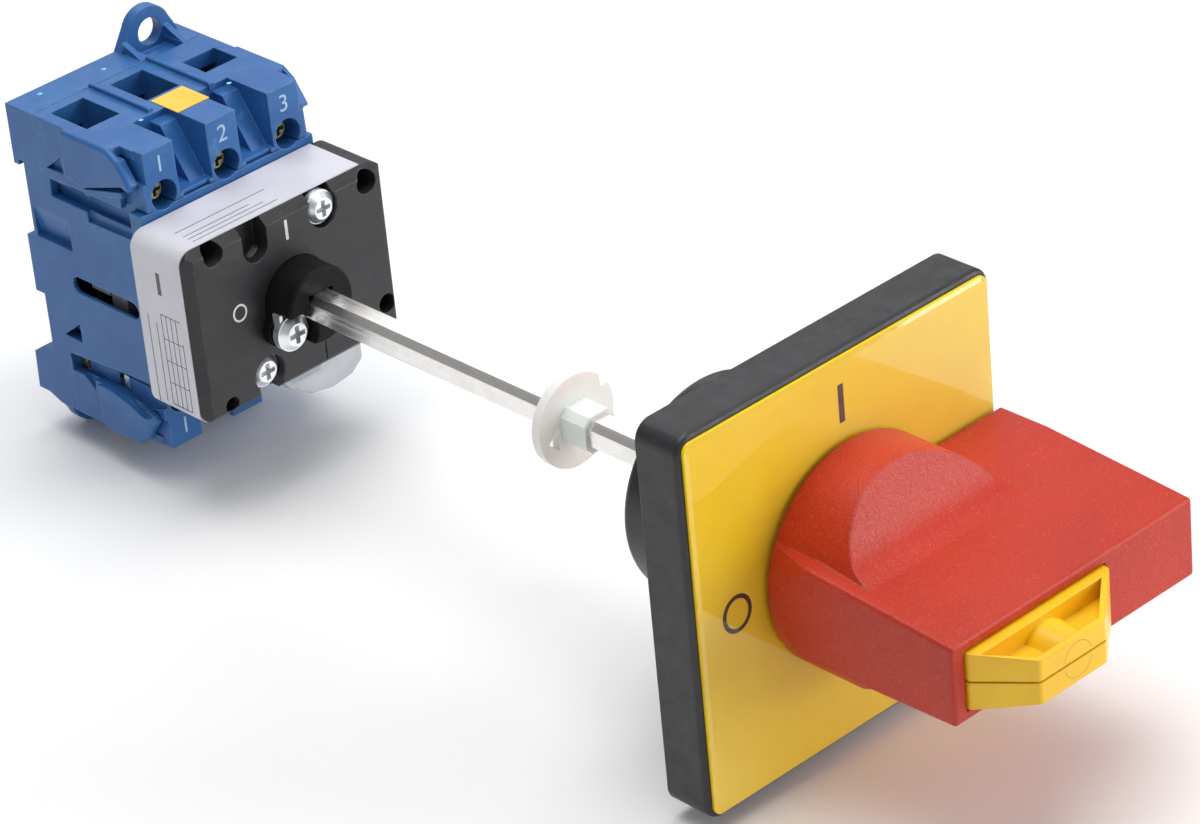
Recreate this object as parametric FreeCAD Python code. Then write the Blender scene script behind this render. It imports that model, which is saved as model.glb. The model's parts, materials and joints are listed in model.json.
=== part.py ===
import FreeCAD, Part
import math
import os

# Rotary isolator switch on a DIN rail, with a door-coupled handle.
# Frame: X to the right, Y from the door to the wall, Z up, in millimetres. The origin lies on
# the shaft's axis, in the plane where the switch body sits against its DIN rail.

# ---- switch body ------------------------------------------------------------------------
PITCH = 13.0                      # between the three poles
POLES = (-PITCH, 0.0, PITCH)
BODY_HALF_X = 18.0
WALL = 2.0
RECESS = 1.9                      # depth of the pockets in the side walls
CORE_HALF_Z = 17.0                # the middle housing, between the two terminal decks
DECK_Z = 27.5                     # outer face of a terminal deck
BODY_FRONT_Y = -30.0
HOOK_REAR_Y = 2.6
RAIL_HALF_Z = 17.7                # half of the space for a 35 mm rail
RAIL_LIP = 1.3                    # room for the rail's edge
EAR_X, EAR_Z = 11.0, 29.4         # fixing ears, upper right and lower left
EAR_HOLE_R = 2.35
EAR_R = 4.4
EAR_FRONT_Y, EAR_REAR_Y = 0.6, 2.6

# ---- terminals --------------------------------------------------------------------------
BLOCK_W = 6.3                     # numbered face of a terminal block
BLOCK_FOOT_W = 7.6
POCKET_X = (-12.4, 0.0, 12.4)     # wire pockets in a deck
POCKET_W = 6.8
POCKET_Y0, POCKET_Y1 = -15.8, -6.3
RIB_HEIGHT = 0.8                  # ribs between the pockets
FLAP_T = 0.9                      # raised flaps on the sides of a deck
LOWER_SETBACK = 3.2               # the lower deck's front stands behind the upper one's
SCREW_FRONT_Y = -27.6
SCREW_Z = 19.1
SCREW_HOLE_R = 2.6
SCREW_HEAD_R = 2.45
TERMINAL_SHANK_R = 1.6
BAR_Y0, BAR_Y1 = -6.2, -4.8       # fixed contact bars

# ---- contact system ---------------------------------------------------------------------
TRAVEL = 3.0                      # contact travel from off to on
BRIDGE_Y0, BRIDGE_Y1 = -12.2, -11.2
TIP_R = 1.5
TIP_Z = 10.6
CARRIER_Y0, CARRIER_Y1 = -19.4, -15.4
POST_R = 7.5                      # radius at which the cam pushes the carrier
POST_FRONT_Y = -24.0

# ---- mechanism cover and rotor ----------------------------------------------------------
COVER_FRONT_Y, COVER_EDGE_Y, COVER_REAR_Y = -43.9, -42.3, -30.3
COVER_HALF_X, COVER_HALF_Z = 21.0, 15.5
COVER_BEVEL = 1.4
COVER_CORNER_R = 2.6
LABEL_T = 0.2
COVER_SCREWS = ((7.4, 12.3), (-7.3, -11.3))
HUB_R = 6.55
HUB_FRONT_Y = -50.1
CLAMP_X, CLAMP_Z = -4.7, -3.7     # axis of the hub's clamp screw
DRUM_R = 10.5
DRUM_Y0, DRUM_Y1 = -41.4, -31.6
FIT = 0.08                        # running clearance, on a radius

# ---- shaft ------------------------------------------------------------------------------
SHAFT_SIDE = 5.0
SHAFT_CHAMFER = 1.05
SHAFT_FRONT_Y, SHAFT_REAR_Y = -175.0, -37.0
DISC_Y = -108.0
DISC_R = 7.8
DISC_T = 1.7

# ---- door unit --------------------------------------------------------------------------
PLATE_HALF = 32.0
PLATE_FRONT_Y, PLATE_REAR_Y = -165.8, -157.6
PLATE_CORNER_R = 3.0
FACE_HALF = 31.0
FACE_CORNER_R = 1.5
FACE_Y = -166.2                   # front of the yellow legend sheet
WINDOW_Y = -166.8                 # front of the clear window
STEM_R = 8.2                      # handle stem in the door bearing
STEM_REAR_Y = -136.9
CLIP_Y, CLIP_T = -138.1, 0.8      # snap ring behind the collar
CLIP_R = 7.7
COLLAR_R = 10.95                  # fits a 22.3 mm door hole
COLLAR_REAR_Y = -138.5
NUT_R = 17.4
NUT_FRONT_Y, NUT_REAR_Y = -154.9, -136.5

# ---- handle -----------------------------------------------------------------------------
BOSS_R = 18.0
HANDLE_REAR_Y = -167.2
GRIP_X0, GRIP_X1 = -18.7, 32.0
GRIP_FRONT_Y = -203.3
GRIP_FRONT_TOP, GRIP_REAR_TOP = 6.5, 8.6
GRIP_FRONT_BOTTOM, GRIP_REAR_BOTTOM = -6.5, -7.4
GRIP_EDGE_R = 0.7
SLIDER_X0, SLIDER_X1 = -16.0, 12.8
SLIDER_HALF_Z = 4.6               # at the handle's face; it tapers towards the front
SLIDER_FRONT_HALF_Z = 3.55
SLIDER_FRONT_Y = -211.5
SLIDER_REAR_Y = -196.0
SLIDER_SPLIT = 0.15               # half of the gap between the slider's halves
SLIDER_FLOOR = 1.4
SLIDER_TRAVEL = 8.0

V = FreeCAD.Vector


def box(x0, x1, y0, y1, z0, z1):
    return Part.makeBox(x1 - x0, y1 - y0, z1 - z0, V(x0, y0, z0))


def rod(radius, x, z, y0, y1):
    """A cylinder along Y."""
    return Part.makeCylinder(radius, y1 - y0, V(x, y0, z), V(0, 1, 0))


def cone(r0, r1, x, z, y0, y1):
    return Part.makeCone(r0, r1, y1 - y0, V(x, y0, z), V(0, 1, 0))


def prism_x(points, x0, x1):
    """A prism along X from an outline of (y, z) points."""
    corners = [V(x0, y, z) for y, z in points]
    return Part.Face(Part.makePolygon(corners + corners[:1])).extrude(V(x1 - x0, 0, 0))


def prism_y(points, y0, y1):
    """A prism along Y from an outline of (x, z) points."""
    corners = [V(x, y0, z) for x, z in points]
    return Part.Face(Part.makePolygon(corners + corners[:1])).extrude(V(0, y1 - y0, 0))


def prism_z(points, z0, z1):
    """A prism along Z from an outline of (x, y) points."""
    corners = [V(x, y, z0) for x, y in points]
    return Part.Face(Part.makePolygon(corners + corners[:1])).extrude(V(0, 0, z1 - z0))


def edges_along(shape, axis, test=lambda c: True):
    """Straight edges parallel to an axis whose centre passes a test."""
    found = []
    for edge in shape.Edges:
        if not isinstance(edge.Curve, Part.Line):
            continue
        if abs(edge.Curve.Direction.dot(axis)) > 0.999 and test(edge.CenterOfMass):
            found.append(edge)
    return found


def rounded_block(half_x, half_z, y0, y1, radius):
    """A block about the Y axis with its four long corners rounded."""
    block = box(-half_x, half_x, y0, y1, -half_z, half_z)
    return block.makeFillet(radius, edges_along(block, V(0, 1, 0)))


def group(solids):
    return Part.makeCompound(solids)


def turned(shape):
    """The same shape, turned half a turn about the Y axis."""
    copy = shape.copy()
    copy.rotate(V(0, 0, 0), V(0, 1, 0), 180)
    return copy


def flipped(shape):
    """The mirror image below the shaft."""
    return shape.mirror(V(0, 0, 0), V(0, 0, 1))


def cross_recess(x, y, z, size, depth):
    """A cross-head recess opening towards -Y."""
    arm = size * 0.28
    flat = box(x - size, x + size, y, y + depth, z - arm, z + arm)
    tall = box(x - arm, x + arm, y, y + depth, z - size, z + size)
    return flat.fuse(tall)


def pan_screw(x, z, head_y, head_r, head_t, shank_r, tip_y):
    """A pan-head screw facing -Y: a crowned head, a cross recess and a shank."""
    crown = head_t * 0.45
    head = cone(head_r * 0.62, head_r * 0.94, x, z, head_y, head_y + crown)
    head = head.fuse(rod(head_r, x, z, head_y + crown, head_y + head_t))
    shank = rod(shank_r, x, z, head_y + head_t, tip_y)
    screw = head.fuse(shank)
    return screw.cut(cross_recess(x, head_y - 0.1, z, head_r * 0.5, head_t * 0.7)).removeSplitter()


def coil_spring(x, z, y0, y1, mean_r, wire_r, turns):
    """A compression spring along Y, as one swept wire."""
    pitch = (y1 - y0 - 2 * wire_r) / turns
    helix = Part.makeHelix(pitch, pitch * turns, mean_r)
    start = V(mean_r, 0, 0)
    section = Part.Wire(Part.makeCircle(wire_r, start, V(0, mean_r, pitch / (2 * math.pi))))
    spring = Part.Wire(helix).makePipeShell([section], True, True)
    spring.rotate(V(0, 0, 0), V(1, 0, 0), -90)
    spring.translate(V(x, y0 + wire_r, z))
    return spring


# ---- the switch body --------------------------------------------------------------------

def ear():
    """The upper right fixing ear, an arch with two gusset ribs."""
    plate = prism_y([(4.6, 22), (18, 22), (18, 25.6), (14.7, 31.7), (7.3, 31.7), (4.6, 27.3)],
                    EAR_FRONT_Y, EAR_REAR_Y)
    plate = plate.fuse(rod(EAR_R, EAR_X, EAR_Z, EAR_FRONT_Y, EAR_REAR_Y))
    for x0, x1 in ((5.2, 6.2), (14.0, 15.0)):
        rib = prism_x([(EAR_FRONT_Y + 0.2, 22), (-4.2, 22), (-4.2, DECK_Z), (EAR_FRONT_Y + 0.2, 29.4)], x0, x1)
        plate = plate.fuse(rib)
    return plate


def side_cut(side, points, depth):
    """A pocket of an outline of (y, z) points, cut into one side wall from outside."""
    x0, x1 = sorted((side * (BODY_HALF_X + 2), side * (BODY_HALF_X - depth)))
    return prism_x(points, x0, x1)


def side_recesses(side):
    """Cuts in one side wall of the middle housing; side is -1 for the left and 1 for the right."""
    upper = side_cut(side, [(-6.6, 16.7), (-6.3, 13.4), (-27, 13.4), (-27, 18), (-12, 18), (-12, 16.7)], RECESS)
    upper_low = side_cut(side, [(-15.5, 13.6), (-15.5, 11.6), (-27, 11.9), (-27, 13.6)], 0.8)
    lower = side_cut(side, [(-4.8, -16.3), (-4.4, -18), (-27.5, -18), (-27.5, -14.6), (-14, -15.6)], RECESS)
    notch = side_cut(side, [(-4.1, -13.0), (-8.6, -9.6), (-8.7, -13.2)], RECESS)
    slot = side_cut(side, [(-24.0, -0.3), (-10.2, -0.3), (-10.2, -3.4), (-24.0, -3.4)], WALL + 1)
    inner = side * (BODY_HALF_X - WALL - 1)
    start = min(inner, inner + side * (WALL + 3))
    ends = [Part.makeCylinder(1.55, WALL + 3, V(start, y, -1.85), V(1, 0, 0)) for y in (-24.0, -10.2)]
    r0, r1 = sorted((inner, side * (BODY_HALF_X - 0.7)))
    relief = box(r0, r1, -27.4, -6.8, -5.2, 1.5)
    wedge = prism_y([(side * BODY_HALF_X, 10.0), (side * (BODY_HALF_X - 1.3), 4.3),
                     (side * (BODY_HALF_X + 1), 4.3), (side * (BODY_HALF_X + 1), 10.0)], -9.9, -0.7)
    return [upper, upper_low, lower, notch, slot, relief, wedge] + ends


def switch_housing():
    """The blue base moulding: contact chamber, rail hooks, fixing ears and side walls."""
    body = box(-BODY_HALF_X, BODY_HALF_X, BODY_FRONT_Y, 0, -CORE_HALF_Z, CORE_HALF_Z)
    rear_top = box(-BODY_HALF_X, BODY_HALF_X, -4.2, HOOK_REAR_Y, CORE_HALF_Z - 0.3, DECK_Z)
    rear_low = box(-BODY_HALF_X, BODY_HALF_X, -4.2, 0, -DECK_Z, -CORE_HALF_Z + 0.3)
    pad = box(-BODY_HALF_X, BODY_HALF_X, -1, 2.2, -6.8, 3.7)
    body = body.fuse([rear_top, rear_low, pad])
    cheek = [(-1, -17.9), (3.2, -17.9), (5.4, -19.4), (5.7, -26.4), (3.0, -26.4), (0, -DECK_Z), (-1, -DECK_Z)]
    for x0, x1 in ((-BODY_HALF_X, -7.4), (7.4, BODY_HALF_X)):
        body = body.fuse(prism_x(cheek, x0, x1))
    body = body.fuse([ear(), turned(ear())])
    chamber = box(-BODY_HALF_X + WALL, BODY_HALF_X - WALL, BODY_FRONT_Y - 1, -3.2, -13.0, 13.0)
    rail_slot = box(-BODY_HALF_X - 1, BODY_HALF_X + 1, 0, RAIL_LIP, 12, RAIL_HALF_Z)
    latch_way = box(-6.2, 6.2, 0, 8, -30, -7.2)
    cuts = [chamber, rail_slot, latch_way]
    for x in POLES:
        for z0 in (12.5, -18):
            cuts.append(box(x - 3.3, x + 3.3, BAR_Y0 - 0.2, BAR_Y1 + 0.2, z0, z0 + 5.5))
    cuts += side_recesses(-1) + side_recesses(1)
    recess = box(7.2, 13.9, -9, EAR_FRONT_Y, 26.2, 34)
    ear_hole = rod(EAR_HOLE_R, EAR_X, EAR_Z, -9, EAR_REAR_Y + 1)
    cuts += [recess, turned(recess), ear_hole, turned(ear_hole)]
    for x in POLES:
        for z in (SCREW_Z, -SCREW_Z):
            cuts.append(rod(SCREW_HOLE_R, x, z, -31, -17.0))
    bosses = []
    for x, z in COVER_SCREWS:
        bosses.append(rod(2.7, x, z, BODY_FRONT_Y, -22.5))
        wall_z = math.copysign(13.6, z)
        bosses.append(box(x - 1, x + 1, BODY_FRONT_Y, -22.5, min(z, wall_z), max(z, wall_z)))
    body = body.cut(cuts).fuse(bosses)
    return body.cut([rod(1.52, x, z, -31, -23.0) for x, z in COVER_SCREWS]).removeSplitter()


def terminal_block(x, back):
    """One numbered terminal block: an upright face, and a wider foot below it."""
    front = BODY_FRONT_Y + back
    upper = box(x - BLOCK_W / 2, x + BLOCK_W / 2, front, -18, 17.3, DECK_Z)
    foot = prism_x([(front, 22), (front - 0.2, 17.3), (-18, 17.3), (-18, 22)],
                   x - BLOCK_FOOT_W / 2, x + BLOCK_FOOT_W / 2)
    return upper.fuse(foot)


def gap_web(x, back):
    """The sloping web at the right of the slot between two blocks, over its ledge."""
    web = prism_x([(-18, 17.3), (-28.6 + back, 17.3), (-22.4 + back, 26.2), (-18, 26.2)], x + 0.2, x + 3.4)
    ledge = box(x - 3.4, x + 3.4, -29.6 + back, -18, 17.3, 17.9)
    return web.fuse(ledge)


def side_wing(side, back):
    """The side wall of a deck, with its raised flap, the lip below the flap and the latch notch."""
    x0, x1 = sorted((side * BODY_HALF_X, side * (BODY_HALF_X - 1.0)))
    wall = prism_x([(-4.2, 17.0), (-4.2, DECK_Z), (-24.4 + back, DECK_Z), (-25.4 + back, 24.0), (-25.0 + back, 17.0)],
                   x0, x1)
    f0, f1 = sorted((side * (BODY_HALF_X - 0.1), side * (BODY_HALF_X + FLAP_T)))
    lift, slit_depth = (0.0, 0.8) if back else (0.2, 1.45)
    flap = prism_x([(-12.2, 19.4), (-12.6, DECK_Z), (-24.0 + back, DECK_Z), (-26.4 + back, 26.0),
                    (-29.0 + back, 22.3), (-28.6 + back, 21.2 + lift), (-27.0 + back, 21.7 + lift),
                    (-16.5 + back / 2, 18.5)], f0, f1)
    outer = side * (BODY_HALF_X + FLAP_T)
    rounded = [e for e in flap.Edges if abs(e.CenterOfMass.x - outer) < 0.01 and e.CenterOfMass.z > 23.9
               and (e.CenterOfMass.z > 27 or e.CenterOfMass.y < -24.5 + back)]
    flap = flap.makeFillet(0.7, rounded)
    lip = prism_x([(-16.6 + back / 2, 18.3), (-26.6 + back, 20.7), (-26.8 + back, 19.8), (-17.2 + back / 2, 17.4)],
                  f0, f1)
    tip = prism_x([(-24.0 + back, 25.9), (-26.4 + back, 26.0), (-29.0 + back, 22.3), (-28.6 + back, 21.2),
                   (-24.0 + back, 20.0)], x0, x1)
    slit = side_cut(side, [(-17.5 + back / 2, 18.6), (-26.4 + back, 20.75), (-26.4 + back, 21.6 + lift / 2)],
                    slit_depth)
    notch = side_cut(side, [(-6.2, 18.5), (-10.3, 21.6), (-10.7, 18.7)], 1.6)
    return wall.fuse([flap, lip, tip]).cut([notch, slit])


def terminal_deck(back=0.0):
    """A terminal deck: roof, wire pockets, three blocks and two side wings; back sets its front rearwards."""
    roof = box(-BODY_HALF_X + 0.9, BODY_HALF_X - 0.9, -24.6 + back, -4.4, 17.3, DECK_Z)
    edge = box(-16.4, 16.4, -27.8 + back, -24.0 + back, 25.9, DECK_Z)
    deck = roof.fuse([edge] + [terminal_block(x, back) for x in POLES])
    gaps = [x + PITCH / 2 for x in POLES[:2]]
    deck = deck.cut([box(x - 3.4, x + 3.4, -31, -20 + back / 2, 17.9, DECK_Z + 1) for x in gaps])
    deck = deck.fuse([gap_web(x, back) for x in gaps] + [side_wing(-1, back), side_wing(1, back)])
    for x, y0 in ((-5.7, -19.6), (6.3, -20.6)):
        rib = box(x - 0.5, x + 0.5, y0 + back, -4.4, DECK_Z - 0.5, DECK_Z + RIB_HEIGHT)
        deck = deck.fuse(rib.makeFillet(0.3, [e for e in rib.Edges if e.CenterOfMass.z > DECK_Z + 0.7]))
    cuts = []
    for x, pocket_x in zip(POLES, POCKET_X):
        cuts.append(box(pocket_x - POCKET_W / 2, pocket_x + POCKET_W / 2, POCKET_Y0, POCKET_Y1, 18.0, 30))
        cuts.append(box(x - 3.3, x + 3.3, POCKET_Y0 - 1.6, POCKET_Y0 + 1, 17.0, 22.6))
        cuts.append(box(x - 3.3, x + 3.3, POCKET_Y1 - 1, BAR_Y1 + 0.1, 17.0, 23.2))
        cuts.append(rod(SCREW_HOLE_R, x, SCREW_Z, -32, POCKET_Y0))
        cuts.append(rod(TERMINAL_SHANK_R + 0.1, x, SCREW_Z, -17, -4.0))
    if back:
        pocket = [(-4.8, 16), (-28, 16), (-28, 19.4), (-26.6 + back, 20.9), (-15.6, 19.3), (-4.7, 19.6)]
        cuts += [side_cut(side, pocket, RECESS) for side in (-1, 1)]
    deck = deck.cut(cuts)
    if not back:
        bridge_x0 = POCKET_X[2] - POCKET_W / 2 - 0.1
        bridge_x1 = POCKET_X[2] + POCKET_W / 2 + 0.1
        deck = deck.fuse(box(bridge_x0, bridge_x1, -9.7, POCKET_Y1 + 0.1, 24.8, DECK_Z))
    return deck.removeSplitter()


def load_deck():
    """The lower deck. In the photo its front stands a little behind the upper one's."""
    return flipped(terminal_deck(LOWER_SETBACK))


def terminal_screws(front_y):
    """Three terminal screws, reached from the front."""
    screws = []
    for x in POLES:
        screws.append(pan_screw(x, SCREW_Z, front_y, SCREW_HEAD_R, 2.8, TERMINAL_SHANK_R, BAR_Y0 - 0.6))
    return group(screws)


def wire_clamps():
    """Three clamp plates that the terminal screws press on the wires."""
    plates = []
    for x in POLES:
        plate = box(x - 3.1, x + 3.1, -17.3, -16.1, 17.3, 22.2)
        plates.append(plate.cut(rod(TERMINAL_SHANK_R + 0.05, x, SCREW_Z, -19, -15)))
    return group(plates)


def fixed_contacts():
    """Three brass bars from the terminals into the contact chamber."""
    bars = []
    for x in POLES:
        bar = box(x - 3.0, x + 3.0, BAR_Y0, BAR_Y1, 9.0, 22.8)
        bars.append(bar.makeChamfer(0.4, edges_along(bar, V(0, 1, 0))))
    return group(bars)


def fixed_tips():
    return group([rod(TIP_R, x, z, BAR_Y0 - 0.8, BAR_Y0) for x in POLES for z in (TIP_Z, -TIP_Z)])


def bridge_tips():
    return group([rod(TIP_R, x, z, BRIDGE_Y1, BRIDGE_Y1 + 0.8) for x in POLES for z in (TIP_Z, -TIP_Z)])


def contact_bridges():
    """Three moving bridges, each closing a pole across its two fixed contacts."""
    bridges = []
    for x in POLES:
        bar = box(x - 2.4, x + 2.4, BRIDGE_Y0, BRIDGE_Y1, -12.6, 12.6)
        bridges.append(bar.makeChamfer(0.8, edges_along(bar, V(0, 1, 0))))
    return group(bridges)


def bridge_springs():
    return group([coil_spring(x, 0, CARRIER_Y1, BRIDGE_Y0, 1.6, 0.3, 4) for x in POLES])


def contact_carrier():
    """The sliding carrier: a beam, fingers round each bridge and two cam posts."""
    carrier = box(-15.6, 15.6, CARRIER_Y0, CARRIER_Y1, -5.5, 5.5)
    parts = []
    for x in POLES:
        for side in (-1, 1):
            inner, outer = x + side * 2.55, x + side * 2.85
            parts.append(box(min(inner, outer), max(inner, outer), CARRIER_Y1, BRIDGE_Y1 + 0.5, -3.0, 3.0))
    for side in (-1, 1):
        parts.append(box(side * POST_R - 1.2, side * POST_R + 1.2, POST_FRONT_Y, CARRIER_Y0, -1.2, 1.2))
    return carrier.fuse(parts).removeSplitter()


def din_latch():
    """The sliding rail latch in the middle of the lower hook."""
    foot = prism_x([(0.3, -18.0), (1.4, -18.0), (1.4, -16.6), (2.6, -16.3), (5.0, -18.6), (5.0, -31.0),
                    (3.6, -32.6), (0.3, -32.6)], -5.9, 5.9)
    pocket = box(-2.6, 2.6, 1.3, 3.9, -26.0, -20.6)
    driver_slot = box(-2.4, 2.4, 3.0, 6.0, -31.4, -29.6)
    return foot.cut([pocket, driver_slot])


def latch_spring():
    """A leaf spring folded in the latch's pocket."""
    leaf = prism_x([(1.6, -20.8), (1.6, -25.8), (2.0, -25.8), (2.0, -21.2), (3.2, -21.2), (3.2, -25.8),
                    (3.6, -25.8), (3.6, -20.8)], -2.0, 2.0)
    return leaf


# ---- cover, rotor and shaft -------------------------------------------------------------

def cover_outline(grow, y0, y1):
    block = box(-COVER_HALF_X - grow, COVER_HALF_X + grow, y0, y1, -COVER_HALF_Z - grow, COVER_HALF_Z + grow)
    return block.makeFillet(COVER_CORNER_R + grow, edges_along(block, V(0, 1, 0)))


def bevelled_front():
    """The frustum between the cover's front face and its outer edge."""
    def frame_at(y, half_x, half_z):
        corners = [V(-half_x, y, -half_z), V(half_x, y, -half_z), V(half_x, y, half_z), V(-half_x, y, half_z)]
        return Part.makePolygon(corners + corners[:1])
    inner = frame_at(COVER_FRONT_Y, COVER_HALF_X - COVER_BEVEL, COVER_HALF_Z - COVER_BEVEL)
    outer = frame_at(COVER_EDGE_Y, COVER_HALF_X, COVER_HALF_Z)
    return Part.makeLoft([inner, outer], True, True)


def front_cover():
    """The black cover over the snap mechanism, with its screw recesses and corner holes."""
    shell = cover_outline(0, COVER_FRONT_Y, COVER_REAR_Y)
    long_body = box(-50, 50, COVER_EDGE_Y, COVER_REAR_Y, -50, 50)
    shell = shell.common(long_body.fuse(bevelled_front()))
    drum_room = rod(DRUM_R + 0.7, 0, 0, COVER_FRONT_Y + 2.0, COVER_REAR_Y + 1)
    plunger_room = box(-18.6, 18.6, -39.2, COVER_REAR_Y + 1, -2.6, 2.6)
    cuts = [drum_room, plunger_room, rod(HUB_R + FIT, 0, 0, COVER_FRONT_Y - 1, COVER_FRONT_Y + 3)]
    for x, z, radius in ((-15.4, 13.8, 2.0), (16.8, 13.0, 2.0), (18.1, -9.8, 1.7), (-15.6, -13.4, 1.4)):
        cuts.append(rod(radius, x, z, COVER_FRONT_Y - 1, -38.5))
    for x, depth_y in ((-6.9, -40.4), (7.4, -40.9)):
        cuts.append(rod(2.55, x, 11.4, COVER_FRONT_Y - 1, depth_y))
        cuts.append(box(x - 2.55, x + 2.55, COVER_FRONT_Y - 1, depth_y, 11.4, 17))
    cuts.append(rod(3.1, 7.4, 12.3, COVER_FRONT_Y - 1, -41.2))
    cuts.append(rod(3.1, -7.3, -11.3, COVER_FRONT_Y - 1, -40.6))
    cuts.append(box(-9.8, -4.8, COVER_FRONT_Y - 1, -40.6, -17, -11.6))
    cuts.append(box(-9.4, -5.2, -41, -34.0, -17, -14.0))
    for x, z in COVER_SCREWS:
        cuts.append(rod(1.6, x, z, -42, COVER_REAR_Y + 1))
    cuts.append(box(4.3, 4.6, COVER_FRONT_Y - 1, COVER_FRONT_Y + 0.25, -14.3, -8.3))
    return shell.cut(cuts).removeSplitter()


def cover_screws():
    """The two screws that hold the cover to the housing."""
    screws = []
    for (x, z), head_y in zip(COVER_SCREWS, (-44.1, -43.3)):
        screws.append(pan_screw(x, z, head_y, 2.9, 2.3, 1.5, -23.5))
    return group(screws)


def wrap_label():
    """The blank white rating label, wrapped over the top and the left side of the cover."""
    skin = cover_outline(LABEL_T, COVER_EDGE_Y + 0.1, COVER_REAR_Y)
    skin = skin.cut(cover_outline(0, COVER_EDGE_Y - 1, COVER_REAR_Y + 1))
    top = box(-30, 17.0, -50, -20, 5, 30)
    left = box(-30, -15, -50, -20, -15.2, 30)
    return skin.common(top.fuse(left)).removeSplitter()


def square_bar(side, chamfer, y0, y1):
    bar = box(-side / 2, side / 2, y0, y1, -side / 2, side / 2)
    if chamfer:
        bar = bar.makeChamfer(chamfer, edges_along(bar, V(0, 1, 0)))
    return bar


def hub_coupler():
    """The black hub that takes the shaft, with the lug for its clamp screw."""
    hub = rod(HUB_R, 0, 0, HUB_FRONT_Y, DRUM_Y0)
    front_rim = [e for e in hub.Edges if abs(e.CenterOfMass.y - HUB_FRONT_Y) < 0.01]
    hub = hub.makeChamfer(0.3, front_rim)
    lug = rod(3.2, CLAMP_X, CLAMP_Z, -45.8, COVER_FRONT_Y - 0.35)
    notch = rod(3.5, CLAMP_X, CLAMP_Z, -52, -45.8).fuse(box(-8, -3.4, -52, -45.8, CLAMP_Z, 0.2))
    hub = hub.fuse(lug).cut([notch, square_bar(SHAFT_SIDE + 0.1, 0, HUB_FRONT_Y - 1, DRUM_Y0 + 1)])
    return hub.cut(rod(1.55, CLAMP_X, CLAMP_Z, -50, COVER_FRONT_Y)).removeSplitter()


def hub_clamp_screw():
    return pan_screw(CLAMP_X, CLAMP_Z, -48.9, 3.15, 2.4, 1.5, -44.4)


def hub_clamp_plate():
    """The small folded plate under the clamp screw's head."""
    plate = box(-6.9, -3.6, -46.45, -45.85, -4.6, 0.1)
    tab = box(-6.9, -6.3, -47.6, -45.85, -2.0, 0.1)
    room = rod(1.55, CLAMP_X, CLAMP_Z, -50, -44).fuse(rod(3.3, CLAMP_X, CLAMP_Z, -50, -46.45))
    return plate.fuse(tab).cut(room).removeSplitter()


def cam_drum():
    """The rotor drum, with two face cams that drive the contact carrier through a quarter turn."""
    drum = rod(DRUM_R, 0, 0, DRUM_Y0, DRUM_Y1)
    drum = drum.cut(square_bar(SHAFT_SIDE + 0.1, 0, DRUM_Y0 - 1, -36.0))
    base_y = POST_FRONT_Y - 0.4
    ring = rod(9.4, 0, 0, DRUM_Y1, base_y).cut(rod(5.6, 0, 0, DRUM_Y1 - 1, base_y + 1))
    drum = drum.fuse(ring)
    step = 15
    half_post = 9.5
    for index in range(1, 7):
        lift = TRAVEL * (step * index - half_post) / 90.0
        ramp = rod(9.4, 0, 0, base_y - 0.5, base_y + lift).cut(rod(5.6, 0, 0, base_y - 1, base_y + 5))
        drum = drum.fuse([ramp.common(sector(step * index, step * (index + 1), 0)),
                          ramp.common(sector(step * index, step * (index + 1), 180))])
    return drum.removeSplitter()


def sector(start, end, offset):
    """A wedge about the Y axis between two angles, measured from +X towards +Z, plus an offset."""
    reach = 14.0
    corners = [(0, 0)]
    for angle in (start, end):
        turn = math.radians(angle + offset)
        corners.append((reach * math.cos(turn), reach * math.sin(turn)))
    return prism_y(corners, -40, -10)


def detent_plungers():
    """Two spring plungers that snap into the drum at off and on."""
    pins = []
    for side in (-1, 1):
        pin = Part.makeCylinder(1.8, 2.4, V(side * (DRUM_R + 0.5), -36.5, 0), V(side, 0, 0))
        pins.append(pin)
    return group(pins)


def detent_springs():
    springs = []
    for side in (-1, 1):
        spring = coil_spring(0, 0, 0, 4.6, 1.3, 0.25, 4)
        spring.rotate(V(0, 0, 0), V(0, 0, 1), -90 * side)
        spring.translate(V(side * (DRUM_R + 3.2), -36.5, 0))
        springs.append(spring)
    return group(springs)


def extension_shaft():
    return square_bar(SHAFT_SIDE, SHAFT_CHAMFER, SHAFT_FRONT_Y, SHAFT_REAR_Y)


def centring_disc():
    """The milky disc that finds the handle's funnel when the door closes."""
    disc = rod(DISC_R, 0, 0, DISC_Y - DISC_T / 2, DISC_Y + DISC_T / 2)
    sleeve = square_bar(6.3, 1.2, DISC_Y - 6.0, DISC_Y)
    disc = disc.fuse(sleeve)
    hole = prism_y([(-5.9, -1.6), (-3.6, 0.6), (-3.9, -3.6)], DISC_Y - 3, DISC_Y + 3)
    bite = box(5.4, 12, DISC_Y - 3, DISC_Y + 3, 3.6, 12)
    return disc.cut([hole, bite, square_bar(SHAFT_SIDE, SHAFT_CHAMFER, -150, -60)]).removeSplitter()


def marker_tab():
    """The clear rounded tab that shows under the right of the cover."""
    outline = [(-2.6, -COVER_HALF_Z), (15.6, -COVER_HALF_Z), (15.7, -20.6), (13.2, -22.6), (8.8, -23.2),
               (4.4, -22.4), (0.2, -19.8)]
    tab = prism_y(outline, -38.9, -36.9)
    lower = [e for e in edges_along(tab, V(0, 1, 0)) if e.CenterOfMass.z < -COVER_HALF_Z - 1]
    tab = tab.makeFillet(1.2, lower)
    return tab.makeFillet(0.4, [e for e in tab.Edges if abs(e.CenterOfMass.y + 38.9) < 0.01
                                and e.CenterOfMass.z < -COVER_HALF_Z - 0.1])


# ---- door unit --------------------------------------------------------------------------

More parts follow.
